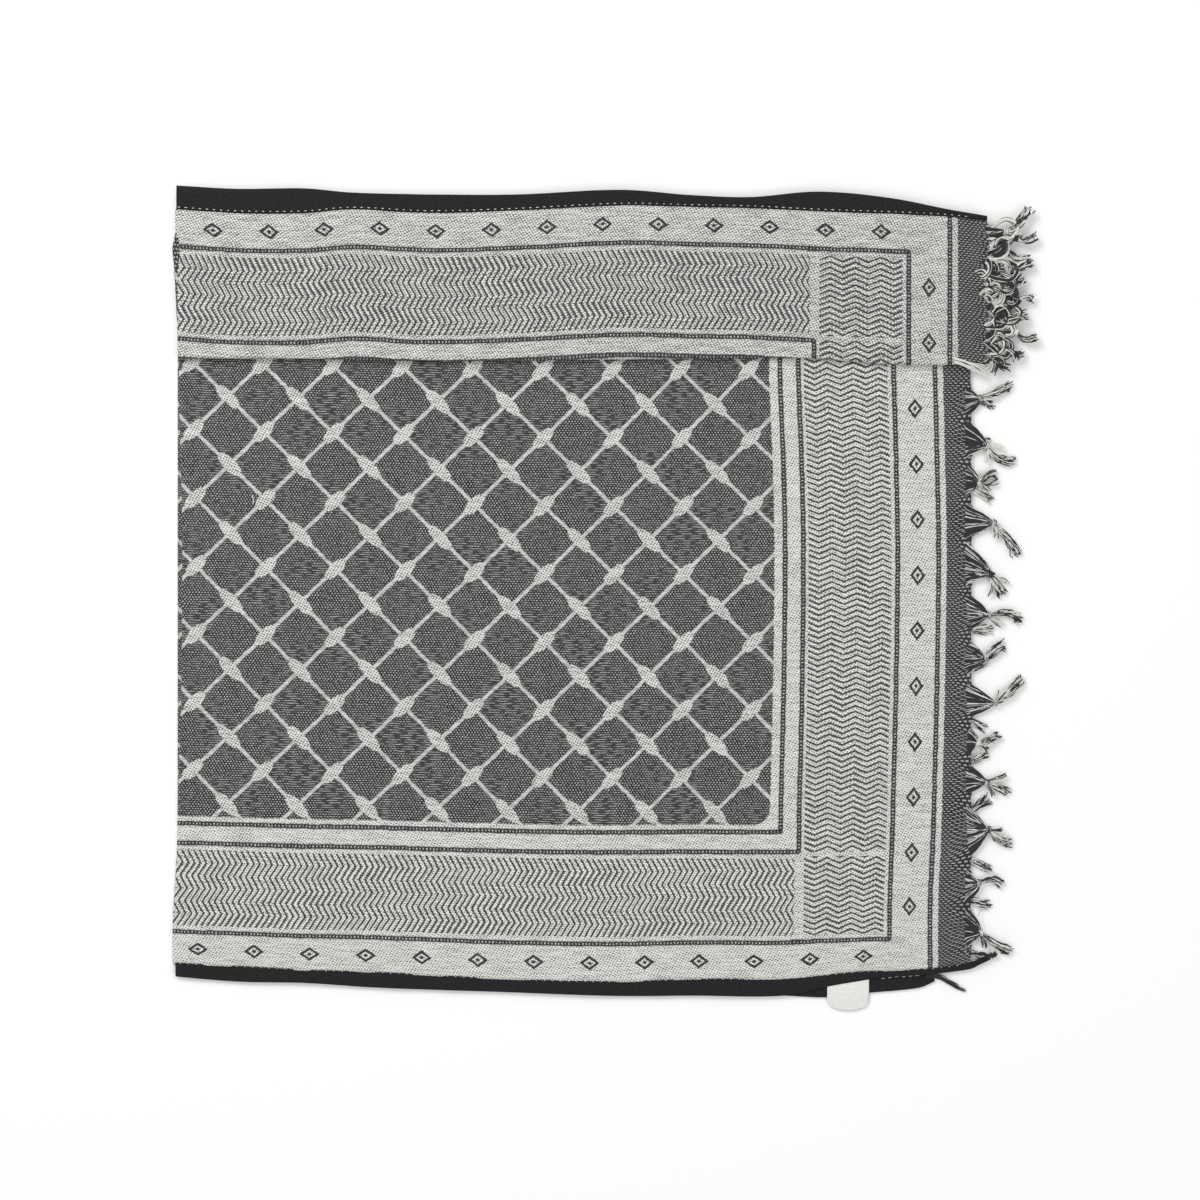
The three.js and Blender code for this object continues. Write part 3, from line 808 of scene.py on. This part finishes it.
def finish_tree(start, geometry, material):
    """Realize the instances, shade them smooth, set their material and leave the tree."""
    whole = start.node("GeometryNodeRealizeInstances", None, {"Geometry": geometry})
    soft = start.node("GeometryNodeSetShadeSmooth", None, {"Geometry": whole})
    made = start.node("GeometryNodeSetMaterial", None, {"Geometry": soft, "Material": material})
    leave = start.tree.nodes.new("NodeGroupOutput")
    start.tree.links.new(made.socket, leave.inputs[0])


def attribute(start, name, kind="FLOAT"):
    return start.node("GeometryNodeInputNamedAttribute", {"data_type": kind}, {"Name": name})


def yarn_tree():
    """Guides in, yarns out."""
    tree = bpy.data.node_groups.new("yarns", "GeometryNodeTree")
    start = Field(tree)
    given = inputs_of(
        tree, [("Yarn Radius", "Float"), ("Stray", "Float"), ("Shortest", "Float"),
               ("Seed", "Int"), ("Material", "Material")]
    )
    guides = start.node("GeometryNodeMeshToCurve", None, {"Mesh": given["Geometry"]})
    amount = attribute(start, "yarns", "INT")
    copies = start.node("GeometryNodeDuplicateElements", {"domain": "SPLINE"},
                        {"Geometry": guides, "Amount": amount})
    number = Field(tree, copies.socket.node.outputs["Duplicate Index"])
    spread = (number + 0.5) / amount * 2 - 1
    own = start.node("FunctionNodeRandomValue", {"data_type": "FLOAT"},
                     {"Min": 0.0, "Max": 1.0, "Seed": given["Seed"]}, 1)
    kept = start.node("GeometryNodeStoreNamedAttribute", {"data_type": "FLOAT", "domain": "CURVE"},
                      {"Geometry": copies, "Name": "own", "Value": own})
    light = start.node("ShaderNodeMath", {"operation": "LESS_THAN"},
                       {0: attribute(start, "own"), 1: attribute(start, "light")})
    toned = start.node("GeometryNodeStoreNamedAttribute", {"data_type": "FLOAT", "domain": "CURVE"},
                       {"Geometry": kept, "Name": "tone", "Value": light})
    run = start.node("GeometryNodeSplineParameter", None, None, 1)
    share = Field(tree, run.socket.node.outputs[0])
    measured = start.node("GeometryNodeStoreNamedAttribute", {"data_type": "FLOAT", "domain": "POINT"},
                          {"Geometry": toned, "Name": "length", "Value": run})
    where = start.node("GeometryNodeInputPosition")
    shift = start.node("ShaderNodeCombineXYZ", None, {0: attribute(start, "own") * 3.7, 2: number * 0.37})
    scaled = start.node("ShaderNodeVectorMath", {"operation": "MULTIPLY"},
                        {0: where, 1: (120.0, 120.0, 120.0)})
    moved = start.node("ShaderNodeVectorMath", {"operation": "ADD"}, {0: scaled, 1: shift})
    noise = start.node("ShaderNodeTexNoise", None, {"Vector": moved, "Scale": 1.0, "Detail": 1.0}, 1)
    centred = start.node("ShaderNodeVectorMath", {"operation": "SUBTRACT"},
                         {0: noise, 1: (0.5, 0.5, 0.5)})
    level = start.node("ShaderNodeVectorMath", {"operation": "MULTIPLY"},
                       {0: centred, 1: (1.0, 1.0, 0.35)})
    held = (share * 6.0).under(1.0)
    loose = given["Stray"] * (attribute(start, "loose") + 0.0002) * held
    strays = start.node("ShaderNodeVectorMath", {"operation": "SCALE"}, {0: level, "Scale": loose})
    wide = attribute(start, "reach") * spread
    side = start.node("ShaderNodeVectorMath", {"operation": "SCALE"},
                      {0: attribute(start, "side", "FLOAT_VECTOR"), "Scale": wide})
    offset = start.node("ShaderNodeVectorMath", {"operation": "ADD"}, {0: strays, 1: side})
    crown = attribute(start, "crown") * (1 - spread * spread)
    lift = start.node("ShaderNodeCombineXYZ", None, {2: crown})
    total = start.node("ShaderNodeVectorMath", {"operation": "ADD"}, {0: offset, 1: lift})
    fanned = start.node("GeometryNodeSetPosition", None, {"Geometry": measured, "Offset": total})
    cut = (attribute(start, "own") * 7.13).sum("FRACT", attribute(start, "own") * 7.13)
    ends = 1 - cut * (1 - given["Shortest"])
    trimmed = start.node("GeometryNodeTrimCurve", {"mode": "FACTOR"}, {"Curve": fanned, "End": ends})
    section = start.node("GeometryNodeCurvePrimitiveCircle", {"mode": "RADIUS"},
                         {"Resolution": 5, "Radius": given["Yarn Radius"]})
    tubes = start.node("GeometryNodeCurveToMesh", None,
                       {"Curve": trimmed, "Profile Curve": section, "Fill Caps": True})
    finish_tree(start, tubes, given["Material"])
    return tree


yarns_tree = yarn_tree()


def grow(guides, tree, **sizes):
    """Run a tree on an object, keep the mesh that it makes, and remove the modifier."""
    modifier = guides.modifiers.new("grow", "NODES")
    modifier.node_group = tree
    for socket in tree.interface.items_tree:
        if socket.in_out == "INPUT" and socket.name in sizes:
            modifier[socket.identifier] = sizes[socket.name]
    graph = bpy.context.evaluated_depsgraph_get()
    mesh = bpy.data.meshes.new_from_object(guides.evaluated_get(graph))
    guides.modifiers.remove(modifier)
    guides.data = mesh
    print(guides.name, len(mesh.polygons), "faces")
    return guides


print("yarn tree:", len(yarns_tree.nodes), "nodes")

# %% [markdown]
# A guide needs its points, and at each point four numbers: how far the bundle reaches to each
# side, how loose the yarns are, how round its heap is, and how many yarns run in it.

# %% Guides
def smooth_line(points, count):
    """A smooth line through a few points."""
    line = []
    last = len(points) - 1
    for i in range(count):
        place_on = i / (count - 1) * last
        row = min(int(place_on), last - 1)
        share = place_on - row
        corners = [Vector(points[min(max(row + k, 0), last)]) for k in (-1, 0, 1, 2)]
        a, b, c, d = corners
        line.append(
            0.5 * ((2 * b) + (c - a) * share + (2 * a - 5 * b + 4 * c - d) * share**2
                   + (3 * b - a - 3 * c + d) * share**3)
        )
    return line


def guide_object(name, guides):
    """A mesh of open lines that carries the numbers of each point."""
    spots, edges, sides = [], [], []
    numbers = {"reach": [], "loose": [], "crown": [], "light": [], "yarns": []}
    for guide in guides:
        line = guide["line"]
        count = len(line)
        for i, spot in enumerate(line):
            ahead = line[min(i + 1, count - 1)] - line[max(i - 1, 0)]
            across = Vector((-ahead.y, ahead.x, 0)).normalized()
            share = i / (count - 1)
            if i == 0:
                across = Vector((0, 1, 0))
            elif share < 0.3:
                across = across.lerp(Vector((0, 1, 0)), 1 - share / 0.3).normalized()
            spots.append(place(*spot))
            sides.append(across)
            for key in ("reach", "loose", "crown"):
                numbers[key].append(guide[key](share) / 1000)
            numbers["light"].append(guide["light"])
            numbers["yarns"].append(guide["yarns"])
            if i:
                edges.append((len(spots) - 2, len(spots) - 1))
    mesh = bpy.data.meshes.new(name)
    mesh.from_pydata(spots, edges, [])
    for key, values in numbers.items():
        kind = "INT" if key == "yarns" else "FLOAT"
        layer = mesh.attributes.new(key, kind, "POINT")
        layer.data.foreach_set("value", values)
    layer = mesh.attributes.new("side", "FLOAT_VECTOR", "POINT")
    layer.data.foreach_set("vector", [number for side in sides for number in side])
    guides_of = bpy.data.objects.new(name, mesh)
    bpy.context.scene.collection.objects.link(guides_of)
    return guides_of


def tassel(low, high, edge, height, knot, tip, yarns=34, tail=4.0, bend=0.0, light=0.42):
    """One tassel: a fan of yarns from the cloth's edge to the knot, and a loose tail past it."""
    middle = (low + high) / 2
    half = (high - low) / 2
    halfway = (edge * 0.45 + knot[0] * 0.55, middle * 0.45 + knot[1] * 0.55, height + 0.75)
    fan = {
        "line": smooth_line([(edge - 4, middle, height + 0.3), halfway, (*knot, height + 0.9)], 11),
        "yarns": round(yarns * 1.3), "light": light * 0.5,
        "reach": lambda share: 0.8 + (half - 0.8) * (1 - share) ** 1.35,
        "loose": lambda share: 0.3 + 1.6 * math.sin(math.pi * share),
        "crown": lambda share: 0.1 + 0.7 * share,
    }
    swing = ((knot[0] + tip[0]) / 2 + bend * 0.4, (knot[1] + tip[1]) / 2 + bend, height + 1.2)
    loose_end = {
        "line": smooth_line([(*knot, height + 0.6), swing, (*tip, max(height - 0.6, 0.9))], 13),
        "yarns": round(yarns * 0.7), "light": light,
        "reach": lambda share: 0.8 + (tail - 0.8) * share,
        "loose": lambda share: 0.3 + 8.0 * share,
        "crown": lambda share: 1.0 - 0.8 * share,
    }
    return [fan, loose_end]


def wisp(start, angle, length, seed, yarns=4, light=0.5, curl=None, wide=0.5):
    """A few yarns that slipped out of a knot and curl away from it."""
    chance = random.Random(seed)
    curl = curl or chance.uniform(-0.09, 0.09)
    x, y, z = start
    line = []
    for i in range(12):
        line.append(Vector((x, y, z + 0.5 * math.sin(math.pi * i / 11))))
        x += math.cos(angle) * length / 11
        y += math.sin(angle) * length / 11
        angle += curl * length / 11
    return {"line": line, "yarns": yarns, "reach": lambda share: wide + 1.6 * share, "light": light,
            "loose": lambda share: 0.5 + 5 * share, "crown": lambda share: 0.4}


def knot_turns(x, y, z, radius, seed, turns=2.2):
    """The yarns wound round a tassel at its knot."""
    chance = random.Random(seed)
    tilt = chance.uniform(-0.7, 0.7)
    line = []
    for i in range(20):
        angle = math.tau * turns * i / 19
        run = (i / 19 - 0.5) * 2.4
        side = radius * math.cos(angle)
        line.append(Vector((x + run * math.cos(tilt) - side * math.sin(tilt),
                            y + run * math.sin(tilt) + side * math.cos(tilt),
                            z + 0.8 * radius * math.sin(angle))))
    return {"line": line, "yarns": 4, "reach": lambda share: 0.7, "light": chance.uniform(0.1, 0.8),
            "loose": lambda share: 0.3, "crown": lambda share: 0.0}


print("a tassel's guide has", len(smooth_line([(0, 0, 0), (1, 0, 0)], 17)), "points")

# %% [markdown]
# ## The front fringe
# Thirteen tassels hang along the front half. No two are alike, so a short table gives each one's
# stretch of edge, its knot and its tip, and a random number with a fixed seed settles the rest.

# %% The front fringe
chance = random.Random(7)
front_guides = []
for index, (low, high, knot_x, knot_y, tip_x, tip_y) in enumerate(FRONT_TASSELS):
    wide = round(1.6 * (high - low))
    front_guides += tassel(low, high, FOLDED_WIDTH, FRONT_MIDDLE, (knot_x, knot_y),
                           (tip_x, tip_y), yarns=wide, bend=chance.uniform(-4, 4))
    front_guides.append(knot_turns(knot_x + 1, knot_y, FRONT_MIDDLE + 1.0, 2.0, index))
    for side in range(3):
        angle = math.atan2(tip_y - knot_y, tip_x - knot_x) + chance.uniform(-0.9, 0.9)
        front_guides.append(wisp((knot_x, knot_y, FRONT_MIDDLE + 0.4), angle,
                                 chance.uniform(9, 19), 100 * side + index, 5, chance.uniform(0.2, 0.9)))
for turn in range(3):
    front_guides.append(knot_turns(614 + 2.2 * turn, 22 + 0.7 * turn, 2.6, 1.5, 70 + turn, 3.0))
    front_guides[-1]["light"] = 0.0
lint = [(56.6, 371, 4.2), (57.8, 367, 4.3), (56.8, 363, 4.2)]
front_guides.append({"line": smooth_line(lint, 8), "yarns": 1, "reach": lambda share: 0.2,
                     "light": 1.0, "loose": lambda share: 0.2, "crown": lambda share: 0.0})
fringe_front = grow(guide_object("front_tassels", front_guides), yarns_tree, **{
    "Yarn Radius": 0.00042, "Stray": 1.0, "Shortest": 0.78, "Seed": 8, "Material": yarn})

# %% [markdown]
# ## The strip's fringe and the back's
# On the strip the tassels lie crowded on each other, with long loops that double back. Those of
# the back half show between the front ones and from below, and a loop spaces them evenly.

# %% The strip's fringe
strip_height = strip_top(STRIP_END)
strip_guides = []
for index, (low, high, knot_x, knot_y, tip_x, tip_y) in enumerate(STRIP_TASSELS):
    settle = strip_height - 1.2 - 0.5 * (index % 3)
    strip_guides += tassel(low - 3, high + 3, STRIP_END - 3, settle, (knot_x, knot_y),
                           (tip_x, tip_y), yarns=32, tail=4.2, bend=chance.uniform(-5, 5))
    strip_guides.append(knot_turns(knot_x, knot_y, settle + 1.2, 2.2, 40 + index, 3.0))
for index in range(9):
    y = 478 + index * 10.5 + chance.uniform(-4, 4)
    reach_out = chance.uniform(12, 26)
    skew = chance.uniform(-9, 9)
    points = [(STRIP_END - 5, y, 6.2), (STRIP_END + reach_out * 0.7, y - 6 + skew, 6.9),
              (STRIP_END + reach_out, y + 3 + skew, 6.4), (STRIP_END + reach_out * 0.6, y + 9 + skew, 6.6),
              (STRIP_END + 1, y + 7, 5.8)]
    strip_guides.append({"line": smooth_line(points, 22), "yarns": 9, "reach": lambda share: 1.7,
                         "light": chance.uniform(0.1, 0.9), "loose": lambda share: 1.6,
                         "crown": lambda share: 0.8})
for index in range(46):
    start = (chance.uniform(606, 628), chance.uniform(474, 570), chance.uniform(4.2, 7.4))
    bend = chance.uniform(0.07, 0.26) * chance.choice((-1, 1))
    strip_guides.append(wisp(start, chance.uniform(-1.3, 1.3), chance.uniform(11, 26), 300 + index,
                             chance.randint(5, 9), chance.uniform(0.0, 0.85), bend, 1.2))
strip_guides.append(wisp((587, 473, 7.4), -0.3, 27, 399, 9, 0.9, -0.008, 2.0))
fringe_strip = grow(guide_object("strip_tassels", strip_guides), yarns_tree, **{
    "Yarn Radius": 0.00042, "Stray": 1.0, "Shortest": 0.8, "Seed": 11, "Material": yarn})

# %% The back fringe
back_guides = []
for index in range(13):
    y = 28 + index * 35
    knot = (594 + chance.uniform(-3, 4), y + chance.uniform(-5, 5))
    tip = (616 + chance.uniform(-5, 3), y + chance.uniform(-14, 14))
    back_guides += tassel(y - 16, y + 16, BACK_WIDTH + 1, 0.6, knot, tip, yarns=30)
back_guides.append({
    "line": smooth_line([(566, 9, 1.0), (578, 6, 1.4), (588, 0, 1.2), (597, -4.5, 0.9)], 14),
    "yarns": 12, "reach": lambda share: 2.2 - 1.2 * share, "light": 0.12,
    "loose": lambda share: 0.6 + 3 * share, "crown": lambda share: 0.6})
fringe_back = grow(guide_object("back_tassels", back_guides), yarns_tree, **{
    "Yarn Radius": 0.0004, "Stray": 1.0, "Shortest": 0.78, "Seed": 23, "Material": yarn})

# %% Loose hairs
hair_lines = [
    [(605, 70, 2.2), (600, 62, 1.4), (603, 53, 1.2), (607, 46, 1.2), (604, 38, 2.0)],
    [(610, 72, 2.0), (611, 61, 1.2), (609, 50, 1.0), (612, 42, 1.6)],
    [(598, 64, 2.6), (604, 66, 1.6), (609, 60, 1.0), (606, 52, 1.0)],
]
hairs = [{"line": smooth_line(line, 24), "yarns": 1, "reach": lambda share: 0.2, "light": 0.2,
          "loose": lambda share: 1.5, "crown": lambda share: 0.0} for line in hair_lines]
loose_hairs = grow(guide_object("loose_hairs", hairs), yarns_tree, **{
    "Yarn Radius": 0.00012, "Stray": 1.0, "Shortest": 0.9, "Seed": 4, "Material": yarn})

# %% [markdown]
# ## Stitches
# White thread shows as a row of short dashes along the strip's seam, and as a few longer ones on
# the back selvage. One small capsule, placed at even steps along the seam and turned to it,
# makes the row.

# %% The stitch tree
def stitch_tree():
    tree = bpy.data.node_groups.new("stitches", "GeometryNodeTree")
    start = Field(tree)
    given = inputs_of(tree, [("Pitch", "Float"), ("Length", "Float"), ("Thread Radius", "Float"),
                             ("Seed", "Int"), ("Material", "Material")])
    seam = start.node("GeometryNodeMeshToCurve", None, {"Mesh": given["Geometry"]})
    spots = start.node("GeometryNodeResampleCurve", {"mode": "LENGTH"},
                       {"Curve": seam, "Length": given["Pitch"]})
    ball = start.node("GeometryNodeMeshUVSphere", None,
                      {"Segments": 6, "Rings": 5, "Radius": given["Thread Radius"]})
    tangent = start.node("GeometryNodeInputTangent")
    turned = start.node("FunctionNodeAlignRotationToVector", {"axis": "X"}, {"Vector": tangent})
    wobble = start.node("FunctionNodeRandomValue", {"data_type": "FLOAT"},
                        {"Min": 0.7, "Max": 1.3, "Seed": given["Seed"]}, 1)
    long_way = given["Length"] / given["Thread Radius"] * 0.5 * wobble
    size = start.node("ShaderNodeCombineXYZ", None, {0: long_way, 1: 1.0, 2: 1.0})
    placed = start.node("GeometryNodeInstanceOnPoints", None,
                        {"Points": spots, "Instance": ball, "Rotation": turned, "Scale": size})
    toned = start.node("GeometryNodeStoreNamedAttribute", {"data_type": "FLOAT", "domain": "INSTANCE"},
                       {"Geometry": placed, "Name": "tone", "Value": 1.0})
    finish_tree(start, toned, given["Material"])
    return tree


def seam_line(name, points):
    """A line of points in scarf millimetres, as a mesh of edges."""
    mesh = bpy.data.meshes.new(name)
    mesh.from_pydata([place(*p) for p in points], [(i, i + 1) for i in range(len(points) - 1)], [])
    line = bpy.data.objects.new(name, mesh)
    bpy.context.scene.collection.objects.link(line)
    return line


stitches_tree = stitch_tree()
strip_seam = [(x, along(UPPER_BORDER, "seam", x) + 0.9, strip_top(x) + 1.05) for x in steps(2, 596, 6)]
strip_stitches = grow(seam_line("strip_stitches", strip_seam), stitches_tree, **{
    "Pitch": 0.0053, "Length": 0.0021, "Thread Radius": 0.00032, "Seed": 5, "Material": yarn})
front_seam = [(x, along(LOWER_BORDER, "seam", x) + 0.3, FRONT_MIDDLE + 1.0) for x in steps(2, 590, 6)]
front_stitches = grow(seam_line("front_stitches", front_seam), stitches_tree, **{
    "Pitch": 0.0061, "Length": 0.0014, "Thread Radius": 0.00022, "Seed": 9, "Material": yarn})
back_seam = [(534, 5.2, 1.25), (544, 6.6, 1.25), (548, 6.4, 1.25), (560, 7.4, 1.25)]
back_stitches = grow(seam_line("back_stitches", back_seam), stitches_tree, **{
    "Pitch": 0.0052, "Length": 0.0036, "Thread Radius": 0.0003, "Seed": 2, "Material": yarn})

# %% [markdown]
# ## Every piece finds its body
# The scarf is one body. Each piece rides on it and stands in for the plain solid of the frame
# that it was modelled on, which is hidden. Each sheet also says how large it was cut.

# %% Attach the pieces and hide their solids
made = [
    (front_cloth, "woven_cloth", ["front_panel"]), (strip_cloth, "woven_cloth", ["border_strip"]),
    (back_cloth, "woven_cloth", ["inner_layers"]), (pleats, "woven_cloth", ["inner_layers"]),
    (front_band, "black_selvage", ["front_selvage"]), (strip_band, "black_selvage", ["strip_selvage"]),
    (back_band, "black_selvage", ["back_selvage"]), (label_piece, "label_cloth", ["label"]),
    (fringe_front, "fringe_yarn", ["fringe_front"]), (fringe_strip, "fringe_yarn", ["fringe_strip"]),
    (fringe_back, "fringe_yarn", ["fringe_back"]), (strip_stitches, "fringe_yarn", []),
    (front_stitches, "fringe_yarn", []), (back_stitches, "fringe_yarn", []),
    (loose_hairs, "fringe_yarn", []),
]
for piece, slot_name, nodes in made:
    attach(piece, "root")
    if nodes:
        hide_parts(*nodes)
print(len(made), "pieces")

# %% [markdown]
# ## Floor, light and camera
# The floor is plain and pale, and the light is a bright sky with one large soft lamp, low enough
# to give the weave a little shade. The camera looks straight down at the scarf.

# %% The studio
def floor():
    mesh = bpy.data.meshes.new("floor")
    size = 30.0
    mesh.from_pydata([(-size, -size, 0), (size, -size, 0), (size, size, 0), (-size, size, 0)], [], [(0, 1, 2, 3)])
    material = bpy.data.materials.new("floor_white")
    material.use_nodes = True
    material.node_tree.nodes["Principled BSDF"].inputs["Base Color"].default_value = (0.93, 0.93, 0.93, 1)
    material.node_tree.nodes["Principled BSDF"].inputs["Roughness"].default_value = 0.9
    mesh.materials.append(material)
    plane = bpy.data.objects.new("floor", mesh)
    plane.location.z = -0.0003
    bpy.context.scene.collection.objects.link(plane)
    plane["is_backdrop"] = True


def lamp(name, position, size, power):
    light = bpy.data.lights.new(name, "AREA")
    light.size = size
    light.energy = power
    holder = bpy.data.objects.new(name, light)
    holder.location = position
    holder.rotation_euler = (-Vector(position)).to_track_quat("-Z", "Y").to_euler()
    bpy.context.scene.collection.objects.link(holder)


floor()
world = bpy.data.worlds.new("studio")
world.use_nodes = True
world.node_tree.nodes["Background"].inputs["Color"].default_value = (1, 1, 1, 1)
world.node_tree.nodes["Background"].inputs["Strength"].default_value = 0.72
bpy.context.scene.world = world
bpy.context.scene.view_settings.view_transform = "Standard"
lamp("key", (-1.1, 1.3, 1.5), 1.0, 26)
lamp("fill", (1.3, -0.9, 1.8), 1.4, 8)

# %% The camera
VIEW_WIDTH = 0.9091
VIEW_CENTRE = (319.7, 291.7)
camera_data = bpy.data.cameras.new("camera")
camera_data.lens = 85
camera = bpy.data.objects.new("camera", camera_data)
distance = VIEW_WIDTH * camera_data.lens / camera_data.sensor_width
camera.location = Vector(place(*VIEW_CENTRE, 0)) + Vector((0, 0, distance))
bpy.context.scene.collection.objects.link(camera)
bpy.context.scene.camera = camera
print("camera", round(distance, 3), "m above the table")

# %% Sizes, and the end
low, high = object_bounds()
